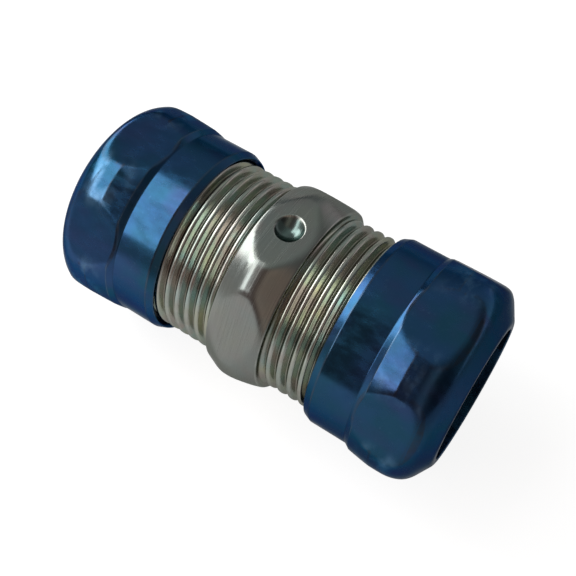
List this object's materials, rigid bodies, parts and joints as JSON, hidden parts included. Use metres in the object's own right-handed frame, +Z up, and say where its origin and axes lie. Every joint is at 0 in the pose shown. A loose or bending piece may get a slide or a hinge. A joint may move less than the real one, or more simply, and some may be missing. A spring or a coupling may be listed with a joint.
{
  "type": "conduit coupling",
  "caption": "Compression coupling for thin-wall steel conduit: a threaded tube with a hexagon in the middle, and a blue gland nut on each end over a split ring.",
  "frame": {"origin": "on the coupling's axis, in the middle of the body's hexagon", "axes": "+X along the axis towards the nut that is screwed on further, +Z up from the surface it lies on, with the stop's dimple facing up"},
  "size_m": [0.0572, 0.029, 0.0282],
  "materials": {
    "zinc_plated_steel": "bright zinc plating, a little yellow-green",
    "blue_zinc_plated_steel": "glossy deep blue film on zinc plating",
    "plain_ring_steel": "dull zinc",
    "sealing_ring_plastic": "off-white, matt"
  },
  "bodies": {
    "body": {"coupling_body": "zinc_plated_steel"},
    "right_gland": {"compression_ring_right": "plain_ring_steel", "sealing_ring_right": "sealing_ring_plastic"},
    "right_nut": {"gland_nut_right": "blue_zinc_plated_steel"},
    "left_gland": {"compression_ring_left": "plain_ring_steel", "sealing_ring_left": "sealing_ring_plastic"},
    "left_nut": {"gland_nut_left": "blue_zinc_plated_steel"}
  },
  "joints": [
    {"name": "right_nut_travel", "type": "slide", "parent": "body", "child": "right_gland", "axis": [1, 0, 0], "range_m": [-0.00145, 0.00677]},
    {"name": "right_nut_turn", "type": "hinge", "parent": "right_gland", "child": "right_nut", "pos_m": [0.01955, 0, 0], "axis": [1, 0, 0], "range_deg": [-324, 1530]},
    {"name": "left_nut_travel", "type": "slide", "parent": "body", "child": "left_gland", "axis": [-1, 0, 0], "range_m": [-0.00264, 0.00558]},
    {"name": "left_nut_turn", "type": "hinge", "parent": "left_gland", "child": "left_nut", "pos_m": [-0.02075, 0, 0], "axis": [-1, 0, 0], "range_deg": [-594, 1260]}
  ],
  "couplings": [
    {"joint": "right_nut_travel", "follows": "right_nut_turn", "m_per_rad": 0.00025266},
    {"joint": "left_nut_travel", "follows": "left_nut_turn", "m_per_rad": 0.00025266}
  ]
}
